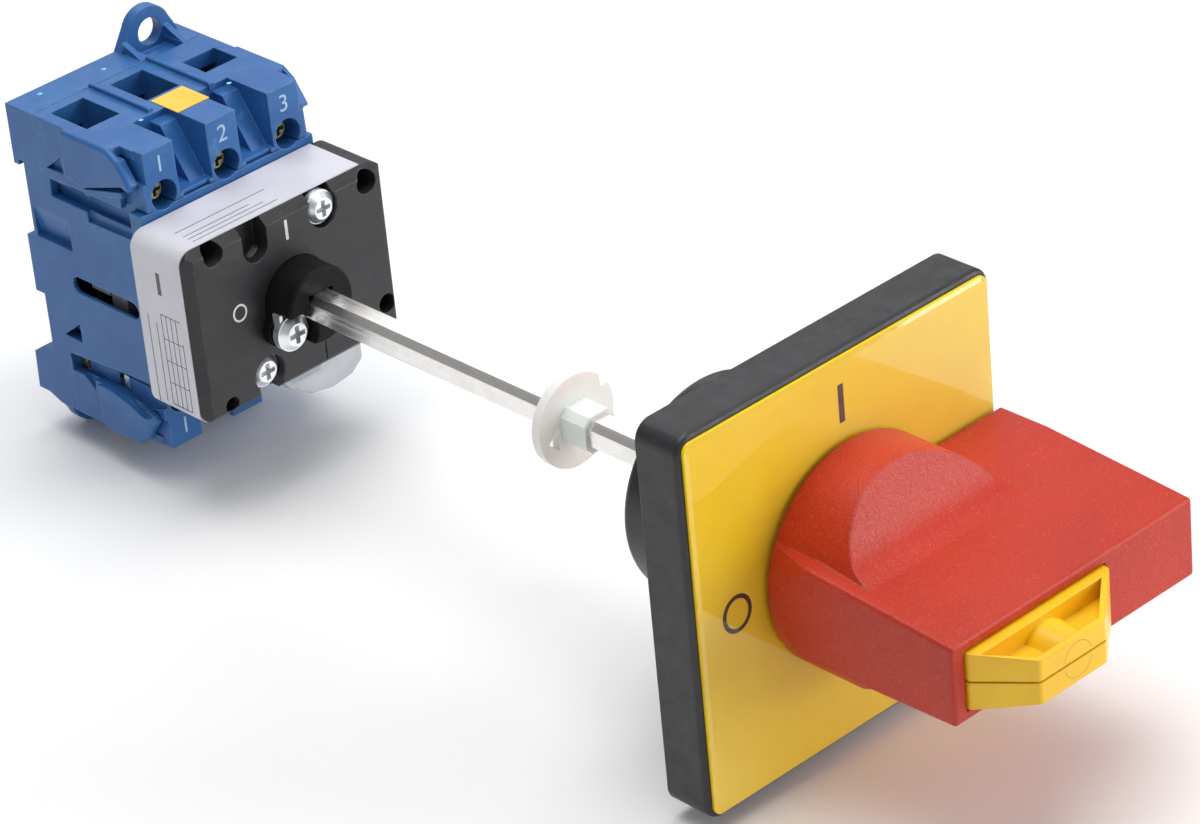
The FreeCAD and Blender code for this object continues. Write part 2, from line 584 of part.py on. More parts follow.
def plate_frame():
    """The black square front plate with its door bearing."""
    frame = rounded_block(PLATE_HALF, PLATE_HALF, PLATE_FRONT_Y, PLATE_REAR_Y, PLATE_CORNER_R)
    rim = [e for e in frame.Edges if abs(e.CenterOfMass.y - PLATE_FRONT_Y) < 0.01]
    frame = frame.makeFillet(0.9, rim)
    seat = rounded_block(FACE_HALF + 0.05, FACE_HALF + 0.05, PLATE_FRONT_Y - 1, PLATE_FRONT_Y + 0.6, FACE_CORNER_R)
    hollow = rounded_block(PLATE_HALF - 2.2, PLATE_HALF - 2.2, PLATE_REAR_Y - 4.4, PLATE_REAR_Y + 1, 2.0)
    land = rod(19.0, 0, 0, PLATE_REAR_Y - 5, PLATE_REAR_Y)
    ribs = [box(-30, 30, PLATE_REAR_Y - 5, PLATE_REAR_Y - 0.6, -0.7, 0.7),
            box(-0.7, 0.7, PLATE_REAR_Y - 5, PLATE_REAR_Y - 0.6, -30, 30)]
    frame = frame.cut([seat, hollow]).fuse([land] + ribs)
    groove = rod(16.0, 0, 0, PLATE_REAR_Y - 0.9, PLATE_REAR_Y + 1).cut(rod(13.6, 0, 0, PLATE_REAR_Y - 2, 0))
    return frame.cut([rod(COLLAR_R + 0.02, 0, 0, -190, -100), groove]).removeSplitter()


def mounting_collar():
    """The threaded collar that passes through the door; its front flange sits in the plate."""
    collar = rod(COLLAR_R, 0, 0, PLATE_FRONT_Y + 0.7, COLLAR_REAR_Y)
    return collar.cut(rod(STEM_R + FIT, 0, 0, -190, -100))


def door_gasket():
    ring = rod(15.9, 0, 0, PLATE_REAR_Y - 0.85, PLATE_REAR_Y + 0.5)
    return ring.cut(rod(13.7, 0, 0, PLATE_REAR_Y - 2, PLATE_REAR_Y + 2))


def fixing_nut():
    """The deep castellated nut behind the door, with gripping lugs round a solid rear rim."""
    nut = rod(NUT_R - 2.6, 0, 0, NUT_FRONT_Y, NUT_REAR_Y - 5.5)
    rim = rod(NUT_R, 0, 0, NUT_REAR_Y - 6.0, NUT_REAR_Y)
    rim = rim.makeFillet(1.2, [e for e in rim.Edges if abs(e.CenterOfMass.y - NUT_REAR_Y) < 0.01])
    nut = nut.fuse(rim)
    count = 12
    for index in range(count):
        lug = box(NUT_R - 3.6, NUT_R - 0.3, NUT_FRONT_Y, NUT_REAR_Y - 5.5, -2.0, 2.0)
        lug.rotate(V(0, 0, 0), V(0, 1, 0), index * 360.0 / count)
        nut = nut.fuse(lug)
    return nut.cut(rod(COLLAR_R + 0.02, 0, 0, -190, -100)).removeSplitter()


def legend_sheet():
    """The yellow face sheet."""
    sheet = rounded_block(FACE_HALF, FACE_HALF, FACE_Y, PLATE_FRONT_Y + 0.6, FACE_CORNER_R)
    return sheet.cut(rod(STEM_R + 0.4, 0, 0, -190, -100))


def clear_window():
    """The clear window over the face sheet, bevelled at its rim."""
    pane = rounded_block(FACE_HALF, FACE_HALF, WINDOW_Y, FACE_Y, FACE_CORNER_R)
    rim = [e for e in pane.Edges if abs(e.CenterOfMass.y - WINDOW_Y) < 0.01]
    return pane.makeChamfer(0.45, rim).cut(rod(STEM_R + 0.4, 0, 0, -190, -100))


def handle_grip():
    """The grip block: its top and bottom taper slightly towards the front."""
    side = [(HANDLE_REAR_Y, GRIP_REAR_TOP), (-176, GRIP_REAR_TOP), (GRIP_FRONT_Y, GRIP_FRONT_TOP),
            (GRIP_FRONT_Y, GRIP_FRONT_BOTTOM), (HANDLE_REAR_Y, GRIP_REAR_BOTTOM)]
    grip = prism_x(side, GRIP_X0, GRIP_X1)
    shown = [e for e in grip.Edges if e.CenterOfMass.y < HANDLE_REAR_Y - 1]
    grip = grip.makeFillet(GRIP_EDGE_R, [e for e in shown if abs(e.CenterOfMass.y + 176) > 0.01
                                         or abs(e.CenterOfMass.x - 6.65) > 1])
    outside = box(-40, 0, -220, -160, -20, 20).cut(cone(30.0, BOSS_R + 0.2, 0, 0, -212.0, HANDLE_REAR_Y + 0.01))
    return grip.cut(outside)


def thumb_scoop():
    """The space above the block: an inclined face that turns into the block's top."""
    top = V(0, -174.6, 20.5)
    path = Part.BSplineCurve()
    path.interpolate([V(0, -204.5, 6.35), V(0, -196, 6.95), V(0, -189.0, 7.35), V(0, -185.4, 7.95),
                      V(0, -182.6, 9.0), V(0, -180.2, 11.2), V(0, -177.6, 15.4), top])
    far = [Part.makeLine(top, V(0, -215, 20.5)), Part.makeLine(V(0, -215, 20.5), V(0, -215, 6.35)),
           Part.makeLine(V(0, -215, 6.35), V(0, -204.5, 6.35))]
    face = Part.Face(Part.Wire([path.toShape()] + far))
    face.translate(V(-25, 0, 0))
    return face.extrude(V(90, 0, 0))


def handle_shell():
    """The red handle: a round boss with thumb scoops, run into a long rectangular grip."""
    boss = rod(BOSS_R, 0, 0, HANDLE_REAR_Y - 26, HANDLE_REAR_Y)
    boss = boss.cut(flipped(thumb_scoop()).cut(box(-60, 90, -300, 0, -4, 40)))
    boss = boss.cut(thumb_scoop())
    handle = boss.fuse(handle_grip())
    slider_room = box(SLIDER_X0 - 0.35, SLIDER_X1 + 0.35, -215, SLIDER_REAR_Y + SLIDER_TRAVEL + 0.6,
                      -SLIDER_HALF_Z - 0.3, SLIDER_HALF_Z + 0.3)
    grip_room = box(16.5, 30.2, -201.5, HANDLE_REAR_Y + 1, -5.0, 5.0)
    stem_room = rod(10.2, 0, 0, -180, HANDLE_REAR_Y + 1)
    screw_seat = rod(2.8, 0, 0, -190, -183.2)
    screw_hole = rod(1.6, 0, 0, -190, -170)
    return handle.cut([slider_room, grip_room, stem_room, screw_seat, screw_hole]).removeSplitter()


def shaft_socket():
    """The driver inside the handle: a stem in the door bearing, with a square funnel for the shaft."""
    stem = rod(STEM_R, 0, 0, -172.0, STEM_REAR_Y)
    head = rod(10.1, 0, 0, -179.6, -170.0)
    bore = square_bar(SHAFT_SIDE + 2 * FIT, 0, -178.0, -130)
    funnel = cone(3.6, 7.0, 0, 0, STEM_REAR_Y - 6.5, STEM_REAR_Y + 0.1)
    groove = rod(STEM_R + 1, 0, 0, CLIP_Y, CLIP_Y + CLIP_T).cut(rod(CLIP_R, 0, 0, -150, -130))
    tapped = rod(1.52, 0, 0, -180, -177)
    return stem.fuse(head).cut([bore, funnel, groove, tapped]).removeSplitter()


def stem_clip():
    """The snap ring that keeps the stem in the door bearing."""
    ring = rod(9.6, 0, 0, CLIP_Y + 0.03, CLIP_Y + CLIP_T - 0.03).cut(rod(CLIP_R + 0.03, 0, 0, -150, -130))
    return ring.cut(box(-2, 2, -150, -130, 5, 12))


def handle_screw():
    return pan_screw(0, 0, -185.4, 2.6, 2.2, 1.5, -178.2)


def slider_half(upper):
    """One half of the yellow padlock slider: tapered, with a pocket and a rounded hump in it."""
    outline = [(SLIDER_X0, SLIDER_REAR_Y), (SLIDER_X0, -203.7), (-9.9, SLIDER_FRONT_Y), (3.6, SLIDER_FRONT_Y),
               (SLIDER_X1, -204.3), (SLIDER_X1, SLIDER_REAR_Y)]
    half = prism_z(outline, SLIDER_SPLIT, SLIDER_HALF_Z)
    above = prism_x([(-203.3, SLIDER_HALF_Z), (SLIDER_FRONT_Y - 1, SLIDER_FRONT_HALF_Z - 0.12),
                     (SLIDER_FRONT_Y - 1, 9), (-203.3, 9)], -20, 20)
    half = half.cut(above)
    half = half.makeFillet(0.9, [e for e in edges_along(half, V(0, 0, 1)) if e.CenterOfMass.y < -203])
    pocket = prism_z([(-14.7, -204.9), (-9.4, -210.6), (3.2, -210.6), (10.4, -204.9)], SLIDER_FLOOR, 9)
    hump = rod(4.6, -1.8, -1.2, -210.7, -204.8).common(box(-9, 9, -212, -200, SLIDER_FLOOR - 0.2, 9))
    groove = prism_x([(SLIDER_FRONT_Y - 1, SLIDER_SPLIT - 1), (SLIDER_FRONT_Y - 1, SLIDER_SPLIT + 0.2),
                      (SLIDER_FRONT_Y + 0.5, SLIDER_SPLIT)], -20, 20)
    half = half.cut([pocket, groove]).fuse(hump).removeSplitter()
    return half if upper else flipped(half)


def deck_sticker():
    """The small blank yellow sticker on the upper deck."""
    return box(-3.2, 3.4, -23.4, -16.6, DECK_Z, DECK_Z + 0.12)


NODES = {
    "switch_housing": switch_housing,
    "line_terminal_deck": terminal_deck,
    "load_terminal_deck": load_deck,
    "line_terminal_screws": lambda: terminal_screws(SCREW_FRONT_Y),
    "load_terminal_screws": lambda: flipped(terminal_screws(SCREW_FRONT_Y + LOWER_SETBACK)),
    "line_wire_clamps": wire_clamps,
    "load_wire_clamps": lambda: flipped(wire_clamps()),
    "line_fixed_contacts": fixed_contacts,
    "load_fixed_contacts": lambda: flipped(fixed_contacts()),
    "fixed_contact_tips": fixed_tips,
    "contact_bridges": contact_bridges,
    "bridge_contact_tips": bridge_tips,
    "bridge_springs": bridge_springs,
    "contact_carrier": contact_carrier,
    "din_latch": din_latch,
    "latch_spring": latch_spring,
    "deck_sticker": deck_sticker,
    "front_cover": front_cover,
    "cover_screws": cover_screws,
    "wrap_label": wrap_label,
    "marker_tab": marker_tab,
    "hub_coupler": hub_coupler,
    "hub_clamp_screw": hub_clamp_screw,
    "hub_clamp_plate": hub_clamp_plate,
    "cam_drum": cam_drum,
    "detent_plungers": detent_plungers,
    "detent_springs": detent_springs,
    "extension_shaft": extension_shaft,
    "centring_disc": centring_disc,
    "plate_frame": plate_frame,
    "legend_sheet": legend_sheet,
    "clear_window": clear_window,
    "mounting_collar": mounting_collar,
    "door_gasket": door_gasket,
    "fixing_nut": fixing_nut,
    "handle_shell": handle_shell,
    "shaft_socket": shaft_socket,
    "stem_clip": stem_clip,
    "handle_screw": handle_screw,
    "padlock_slider_upper": lambda: slider_half(True),
    "padlock_slider_lower": lambda: slider_half(False),
}


def main():
    os.makedirs("parts", exist_ok=True)
    for name, make in NODES.items():
        shape = make()
        solids = len(shape.Solids)
        bounds = shape.BoundBox
        print("%-22s solids %2d valid %s volume %9.1f  x %.1f %.1f  y %.1f %.1f  z %.1f %.1f" % (
            name, solids, shape.isValid(), shape.Volume, bounds.XMin, bounds.XMax,
            bounds.YMin, bounds.YMax, bounds.ZMin, bounds.ZMax))
        shape.exportStep("parts/%s.step" % name)


main()
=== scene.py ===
import json
import math

import bmesh
import bpy
from mathutils import Matrix, Vector


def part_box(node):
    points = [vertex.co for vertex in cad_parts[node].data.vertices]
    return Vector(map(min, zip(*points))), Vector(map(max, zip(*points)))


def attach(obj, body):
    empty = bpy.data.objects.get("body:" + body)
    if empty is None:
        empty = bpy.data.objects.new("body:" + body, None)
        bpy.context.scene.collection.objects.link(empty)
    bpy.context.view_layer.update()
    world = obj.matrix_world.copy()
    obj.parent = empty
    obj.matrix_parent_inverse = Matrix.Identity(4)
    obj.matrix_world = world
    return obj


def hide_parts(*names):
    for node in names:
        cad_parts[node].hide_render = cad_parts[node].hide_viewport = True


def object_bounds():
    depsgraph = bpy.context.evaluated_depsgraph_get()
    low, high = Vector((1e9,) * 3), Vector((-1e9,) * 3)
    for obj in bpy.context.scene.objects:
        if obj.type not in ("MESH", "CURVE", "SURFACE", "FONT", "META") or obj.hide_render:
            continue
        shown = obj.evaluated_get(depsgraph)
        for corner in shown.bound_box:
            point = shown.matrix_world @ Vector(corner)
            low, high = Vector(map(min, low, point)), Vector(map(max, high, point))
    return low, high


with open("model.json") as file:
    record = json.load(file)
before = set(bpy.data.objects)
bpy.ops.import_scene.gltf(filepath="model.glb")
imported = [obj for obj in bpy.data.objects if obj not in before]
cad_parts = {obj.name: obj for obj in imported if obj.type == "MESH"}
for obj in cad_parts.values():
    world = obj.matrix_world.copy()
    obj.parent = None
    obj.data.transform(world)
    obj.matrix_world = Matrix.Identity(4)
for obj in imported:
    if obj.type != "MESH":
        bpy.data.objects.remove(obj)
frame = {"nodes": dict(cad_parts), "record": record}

cad_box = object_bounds()
MM = 0.001
EAST, NORTH, INWARD = Vector((1, 0, 0)), Vector((0, 0, 1)), Vector((0, 1, 0))
COLLECTION = bpy.context.scene.collection
SLOT_OF = {entry["node"]: entry["material_slot"] for entry in frame["record"]["subparts"]}


# ---- camera, floor and light ------------------------------------------------------------

CAMERA_AT = Vector((-0.43129, -0.60771, 0.38286))
AZIMUTH, ELEVATION, ROLL = math.radians(41.134), math.radians(30.113), math.radians(-5.670)
LENS_MM, SENSOR_MM = 151.05, 36.0
SHIFT_X, SHIFT_Y = 0.0013, 0.0033      # how far the photo's crop is off the lens's axis
FLOOR_HALF = 4.0
FLOOR_GAP = 0.4 * MM                   # the floor stays this far below the lowest piece
WHITE = (1.0, 1.0, 1.0)


def add_camera():
    """The camera solved from the photo: its place, the way it looks, and its roll."""
    camera = bpy.data.cameras.new("camera")
    camera.lens, camera.sensor_width = LENS_MM, SENSOR_MM
    camera.shift_x, camera.shift_y = SHIFT_X, SHIFT_Y
    camera.clip_start, camera.clip_end = 0.01, 20.0
    view = Vector((math.sin(AZIMUTH) * math.cos(ELEVATION), math.cos(AZIMUTH) * math.cos(ELEVATION),
                   -math.sin(ELEVATION)))
    level = view.cross(Vector((0, 0, 1))).normalized()
    upright = level.cross(view)
    right = math.cos(ROLL) * level + math.sin(ROLL) * upright
    up = math.cos(ROLL) * upright - math.sin(ROLL) * level
    holder = bpy.data.objects.new("camera", camera)
    holder.matrix_world = Matrix((
        (right.x, up.x, -view.x, CAMERA_AT.x),
        (right.y, up.y, -view.y, CAMERA_AT.y),
        (right.z, up.z, -view.z, CAMERA_AT.z),
        (0, 0, 0, 1)))
    COLLECTION.objects.link(holder)
    bpy.context.scene.camera = holder


def add_area(name, at, aim, size, power):
    """A white softbox: its place, the point it faces, its width and height, and its watts."""
    light = bpy.data.lights.new(name, "AREA")
    light.shape, light.size, light.size_y = "RECTANGLE", size[0], size[1]
    light.energy, light.color = power, WHITE
    holder = bpy.data.objects.new(name, light)
    holder.location = at
    holder.rotation_euler = (Vector(aim) - Vector(at)).to_track_quat("-Z", "Y").to_euler()
    COLLECTION.objects.link(holder)


def add_studio():
    middle = (0.0, -0.1, 0.0)
    add_area("top_softbox", (0.05, -0.05, 1.0), middle, (0.9, 0.9), 9.5)
    add_area("front_softbox", (0.85, -1.0, 0.42), middle, (0.8, 0.9), 10.5)
    add_area("back_softbox", (0.62, 0.85, 0.62), middle, (1.1, 0.5), 2.0)
    world = bpy.data.worlds.new("studio")
    world.use_nodes = True
    background = world.node_tree.nodes["Background"]
    background.inputs["Color"].default_value = (*WHITE, 1.0)
    background.inputs["Strength"].default_value = 0.30
    bpy.context.scene.world = world
    bpy.context.scene.view_settings.view_transform = "Standard"


def add_floor():
    """A plain pale sheet under the object."""
    height = cad_box[0][2] - FLOOR_GAP
    mesh = bpy.data.meshes.new("floor")
    corners = [(x * FLOOR_HALF, y * FLOOR_HALF, height) for x, y in ((-1, -1), (1, -1), (1, 1), (-1, 1))]
    mesh.from_pydata(corners, [], [(0, 1, 2, 3)])
    floor = bpy.data.objects.new("floor", mesh)
    COLLECTION.objects.link(floor)
    make = Recipe("floor_paper", roughness=0.9)
    make.colour(make.mix(make.noise(40.0, 3.0), (0.90, 0.90, 0.90), (0.93, 0.93, 0.93)))
    mesh.materials.append(make.material)


# ---- materials --------------------------------------------------------------------------

class Recipe:
    """A Principled material built from small procedural steps in object space."""

    def __init__(self, name, **sockets):
        self.material = bpy.data.materials.new(name)
        self.material.use_nodes = True
        self.tree = self.material.node_tree
        self.shader = self.tree.nodes["Principled BSDF"]
        self.place = self.tree.nodes.new("ShaderNodeTexCoord").outputs["Object"]
        for socket, value in sockets.items():
            self.shader.inputs[SOCKETS[socket]].default_value = value

    def node(self, kind, **settings):
        made = self.tree.nodes.new(kind)
        for key, value in settings.items():
            setattr(made, key, value)
        return made

    def link(self, source, target):
        self.tree.links.new(source, target)

    def stretched(self, scale):
        """Object coordinates stretched by a factor on each axis."""
        mapping = self.node("ShaderNodeMapping")
        mapping.inputs["Scale"].default_value = scale
        self.link(self.place, mapping.inputs["Vector"])
        return mapping.outputs["Vector"]

    def noise(self, scale, detail=4.0, place=None, rough=0.55):
        made = self.node("ShaderNodeTexNoise")
        made.inputs["Scale"].default_value = scale
        made.inputs["Detail"].default_value = detail
        made.inputs["Roughness"].default_value = rough
        self.link(place or self.place, made.inputs["Vector"])
        return made.outputs["Fac"]

    def remap(self, value, low, high, to_low=0.0, to_high=1.0):
        made = self.node("ShaderNodeMapRange")
        for key, number in (("From Min", low), ("From Max", high), ("To Min", to_low), ("To Max", to_high)):
            made.inputs[key].default_value = number
        self.link(value, made.inputs["Value"])
        return made.outputs["Result"]

    def product(self, first, second):
        made = self.node("ShaderNodeMath", operation="MULTIPLY")
        self.link(first, made.inputs[0])
        self.link(second, made.inputs[1])
        return made.outputs[0]

    def mix(self, factor, first, second):
        made = self.node("ShaderNodeMix", data_type="RGBA")
        self.link(factor, made.inputs["Factor"])
        for socket, value in ((made.inputs[6], first), (made.inputs[7], second)):
            if isinstance(value, tuple):
                socket.default_value = (*value, 1.0)
            else:
                self.link(value, socket)
        return made.outputs[2]

    def edges(self, radius_mm=0.35):
        """1 near sharp edges, 0 on flat faces."""
        bevel = self.node("ShaderNodeBevel", samples=6)
        bevel.inputs["Radius"].default_value = radius_mm * MM
        geometry = self.node("ShaderNodeNewGeometry")
        dot = self.node("ShaderNodeVectorMath", operation="DOT_PRODUCT")
        self.link(bevel.outputs["Normal"], dot.inputs[0])
        self.link(geometry.outputs["Normal"], dot.inputs[1])
        return self.remap(dot.outputs["Value"], 0.995, 0.86)

    def colour(self, source):
        self.link(source, self.shader.inputs["Base Color"])

    def roughness(self, source):
        self.link(source, self.shader.inputs["Roughness"])

    def rounded(self, radius_mm):
        """A normal that reads as a small edge radius."""
        made = self.node("ShaderNodeBevel", samples=6)
        made.inputs["Radius"].default_value = radius_mm * MM
        return made.outputs["Normal"]

    def bump(self, height, distance_mm, strength=1.0, under=None):
        made = self.node("ShaderNodeBump")
        made.inputs["Strength"].default_value = strength
        made.inputs["Distance"].default_value = distance_mm * MM
        self.link(height, made.inputs["Height"])
        if under is not None:
            self.link(under, made.inputs["Normal"])
        self.link(made.outputs["Normal"], self.shader.inputs["Normal"])
        return made.outputs["Normal"]


SOCKETS = {
    "roughness": "Roughness", "metallic": "Metallic", "ior": "IOR", "alpha": "Alpha",
    "specular": "Specular IOR Level", "transmission": "Transmission Weight",
    "subsurface": "Subsurface Weight", "sub_scale": "Subsurface Scale",
}


def moulded(name, low, high, worn, grain_mm, grain_depth_mm, rough=(0.38, 0.52), wear=0.5, dust=0.0,
            **sockets):
    """Moulded plastic: a fine grain, a soft drift of colour, edges rubbed lighter, and any specks of dust."""
    make = Recipe(name, **sockets)
    drift = make.remap(make.noise(90.0, 5.0), 0.3, 0.7)
    base = make.mix(drift, low, high)
    rub = make.product(make.edges(0.3), make.remap(make.noise(700.0, 6.0), 0.42, 0.72, 0.0, wear))
    base = make.mix(rub, base, worn)
    if dust:
        specks = make.remap(make.noise(3600.0, 2.0), 0.66, 0.80, 0.0, dust)
        base = make.mix(specks, base, (0.40, 0.40, 0.41))
    make.colour(base)
    make.roughness(make.remap(make.noise(420.0, 4.0), 0.3, 0.7, rough[0], rough[1]))
    coarse = make.bump(make.noise(260.0, 2.0), 0.02, 0.25, make.rounded(0.3))
    make.bump(make.noise(1.0 / (grain_mm * MM), 2.0), grain_depth_mm, 0.6, coarse)
    return make.material


def blue_plastic():
    """The switch moulding: satin blue with pale rub marks, strongest along its edges."""
    make = Recipe("blue_plastic", specular=0.45)
    drift = make.remap(make.noise(70.0, 5.0), 0.3, 0.7)
    base = make.mix(drift, (0.018, 0.104, 0.325), (0.027, 0.136, 0.385))
    bloom = make.remap(make.noise(120.0, 9.0, rough=0.7), 0.52, 0.70, 0.0, 0.35)
    base = make.mix(bloom, base, (0.045, 0.22, 0.46))
    scuffs = make.product(make.remap(make.noise(260.0, 8.0), 0.60, 0.72, 0.0, 0.35),
                          make.remap(make.noise(55.0, 2.0), 0.50, 0.62))
    base = make.mix(scuffs, base, (0.16, 0.36, 0.62))
    rub = make.product(make.edges(0.35), make.remap(make.noise(500.0, 6.0), 0.35, 0.7, 0.1, 0.65))
    base = make.mix(rub, base, (0.20, 0.42, 0.70))
    make.colour(base)
    make.roughness(make.remap(make.noise(300.0, 5.0), 0.3, 0.7, 0.36, 0.50))
    coarse = make.bump(make.noise(180.0, 3.0), 0.03, 0.3, make.rounded(0.35))
    make.bump(make.noise(9000.0, 2.0), 0.008, 0.5, coarse)
    return make.material


def red_plastic():
    """The handle: spark-eroded grain, bright specks painted into its colour as glints, and a paler rubbed
    line on its edges.
    """
    make = Recipe("red_plastic", specular=0.45)
    drift = make.remap(make.noise(60.0, 4.0), 0.3, 0.7)
    base = make.mix(drift, (0.44, 0.018, 0.003), (0.53, 0.024, 0.005))
    # painted highlight: bright specks in the base colour stand in for glints off the grain
    painted_glints = make.remap(make.noise(2600.0, 3.0), 0.60, 0.72, 0.0, 0.30)
    base = make.mix(painted_glints, base, (0.85, 0.22, 0.10))
    rub = make.product(make.edges(0.45), make.remap(make.noise(900.0, 6.0), 0.40, 0.75, 0.02, 0.45))
    base = make.mix(rub, base, (0.75, 0.28, 0.22))
    make.colour(base)
    make.roughness(make.remap(make.noise(2500.0, 3.0), 0.3, 0.7, 0.34, 0.50))
    coarse = make.bump(make.noise(1300.0, 2.0), 0.07, 0.7, make.rounded(0.6))
    make.bump(make.noise(2700.0, 2.0), 0.09, 1.0, coarse)
    return make.material


def metal(name, low, high, rough, streak=(1.0, 1.0, 1.0), streak_scale=1500.0, depth_mm=0.004):
    """Plated or drawn metal: a drift of tone, and fine streaks along one axis."""
    make = Recipe(name, metallic=1.0)
    make.colour(make.mix(make.remap(make.noise(220.0, 4.0), 0.3, 0.7), low, high))
    lines = make.noise(streak_scale, 3.0, make.stretched(streak))
    make.roughness(make.remap(lines, 0.3, 0.7, rough[0], rough[1]))
    make.bump(lines, depth_mm, 0.5, make.rounded(0.12))
    return make.material


def printed_sheet(name, low, high, rough):
    """Coated paper or printed film: faint mottling and a slightly uneven surface."""
    make = Recipe(name)
    make.colour(make.mix(make.remap(make.noise(150.0, 4.0), 0.3, 0.7), low, high))
    make.roughness(make.remap(make.noise(600.0, 4.0), 0.3, 0.7, rough[0], rough[1]))
    make.bump(make.noise(320.0, 3.0), 0.01, 0.3)
    return make.material


def milky_plastic():
    """The centring disc: natural nylon, with light scattered inside it."""
    make = Recipe("milky_plastic", transmission=0.04, ior=1.45, subsurface=0.5, sub_scale=2.0 * MM)
    drift = make.remap(make.noise(300.0, 4.0), 0.3, 0.7)
    make.colour(make.mix(drift, (0.92, 0.90, 0.85), (0.97, 0.96, 0.92)))
    make.roughness(make.remap(make.noise(900.0, 4.0), 0.3, 0.7, 0.28, 0.42))
    make.bump(make.noise(700.0, 4.0), 0.01, 0.4)
    return make.material


def clear_plastic():
    """The tab under the cover: see-through and glossy, with faint scratches and haze."""
    make = Recipe("clear_plastic", ior=1.49, alpha=0.55)
    make.colour(make.mix(make.noise(250.0, 5.0), (0.44, 0.47, 0.50), (0.66, 0.69, 0.72)))
    scratches = make.noise(400.0, 8.0, make.stretched((1.0, 1.0, 6.0)))
    make.roughness(make.remap(scratches, 0.35, 0.75, 0.03, 0.14))
    make.bump(scratches, 0.002, 0.2, make.rounded(0.3))
    return make.material


def clear_pane():
    """The door window: a thin open skin that reflects like acrylic and lets the sheet show through."""
    make = Recipe("clear_pane", ior=1.49, roughness=0.03)
    make.colour(make.mix(make.noise(250.0, 5.0), (0.90, 0.91, 0.92), (0.96, 0.97, 0.98)))
    scratches = make.noise(380.0, 9.0, make.stretched((1.0, 1.0, 7.0)))
    gloss = make.node("ShaderNodeBsdfGlossy")
    make.link(make.remap(scratches, 0.40, 0.78, 0.012, 0.10), gloss.inputs["Roughness"])
    haze = make.node("ShaderNodeMixShader")
    make.link(make.remap(make.noise(60.0, 6.0), 0.3, 0.8, 0.0, 0.035), haze.inputs["Fac"])
    clear = make.node("ShaderNodeBsdfTransparent")
    make.link(clear.outputs["BSDF"], haze.inputs[1])
    make.link(make.shader.outputs["BSDF"], haze.inputs[2])
    facing = make.node("ShaderNodeLayerWeight")
    facing.inputs["Blend"].default_value = 0.5
    power = make.node("ShaderNodeMath", operation="POWER")
    make.link(facing.outputs["Facing"], power.inputs[0])
    power.inputs[1].default_value = 5.0
    front = make.node("ShaderNodeMixShader")
    make.link(make.remap(power.outputs[0], 0.0, 1.0, 0.10, 1.0), front.inputs["Fac"])
    make.link(haze.outputs["Shader"], front.inputs[1])
    make.link(gloss.outputs["BSDF"], front.inputs[2])
    make.link(front.outputs["Shader"], make.tree.nodes["Material Output"].inputs["Surface"])
    return make.material


def make_materials():
    return {
        "blue_plastic": blue_plastic(),
        "black_plastic": moulded("black_plastic", (0.015, 0.014, 0.017), (0.022, 0.021, 0.025),
                                 (0.16, 0.16, 0.17), 0.30, 0.03, rough=(0.36, 0.52), wear=0.8, dust=0.30),
        "hub_black": moulded("hub_black", (0.004, 0.004, 0.004), (0.007, 0.007, 0.007),
                             (0.05, 0.05, 0.05), 0.30, 0.006, rough=(0.42, 0.55), wear=0.4, specular=0.15),
        "nut_black": moulded("nut_black", (0.012, 0.012, 0.013), (0.020, 0.020, 0.021),
                             (0.10, 0.10, 0.10), 0.30, 0.006, rough=(0.26, 0.36), wear=0.3),
        "rotor_plastic": moulded("rotor_plastic", (0.26, 0.27, 0.29), (0.32, 0.33, 0.35),
                                 (0.5, 0.5, 0.52), 0.15, 0.01),
        "zinc_steel": metal("zinc_steel", (0.80, 0.84, 0.88), (0.94, 0.96, 0.98), (0.34, 0.50),
                            depth_mm=0.008),
        "bright_steel": metal("bright_steel", (0.84, 0.82, 0.79), (0.96, 0.94, 0.91), (0.20, 0.32),
                              streak=(20.0, 0.15, 20.0), streak_scale=90.0),
        "yellow_zinc": metal("yellow_zinc", (0.42, 0.38, 0.20), (0.66, 0.60, 0.36), (0.28, 0.46),
                             depth_mm=0.01),
        "brass": metal("brass", (0.60, 0.44, 0.18), (0.80, 0.64, 0.34), (0.24, 0.42)),
        "silver": metal("silver", (0.80, 0.80, 0.78), (0.92, 0.92, 0.90), (0.3, 0.45)),
        "spring_steel": metal("spring_steel", (0.42, 0.43, 0.45), (0.60, 0.61, 0.63), (0.25, 0.4)),
        "white_label": printed_sheet("white_label", (0.61, 0.61, 0.67), (0.66, 0.66, 0.72), (0.30, 0.42)),
        "yellow_label": printed_sheet("yellow_label", (0.88, 0.50, 0.03), (0.93, 0.56, 0.05), (0.32, 0.45)),
        "clear_plastic": clear_plastic(),
        "clear_pane": clear_pane(),
        "milky_plastic": milky_plastic(),
        "legend_yellow": printed_sheet("legend_yellow", (0.94, 0.64, 0.006), (0.98, 0.69, 0.009),
                                       (0.45, 0.55)),
        "rubber": moulded("rubber", (0.02, 0.02, 0.02), (0.03, 0.03, 0.03), (0.06, 0.06, 0.06),
                          0.20, 0.02, rough=(0.6, 0.8)),
        "red_plastic": red_plastic(),
        "yellow_plastic": moulded("yellow_plastic", (0.84, 0.48, 0.006), (0.92, 0.57, 0.010),
                                  (1.0, 0.76, 0.16), 0.30, 0.006, rough=(0.26, 0.38), wear=0.35,
                                  specular=0.5),
    }


# ---- pieces -----------------------------------------------------------------------------

PRINT = 0.03 * MM                      # thickness of the ink on the door sheet and the cover
RULE = 0.02 * MM                       # thickness of the ink on the label
RULE_HALF = 0.08 * MM                  # half the width of a rule line
POLE_PITCH = 13.0
CORNER_STEPS = 8                       # segments in each round corner of the window
HALF_CORNER = CORNER_STEPS // 2        # lines the window's bore up with the middles of its corners


def place_mesh(name, mesh, material, body):
    mesh.materials.append(material)
    piece = bpy.data.objects.new(name, mesh)
    COLLECTION.objects.link(piece)
    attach(piece, body)
    return piece


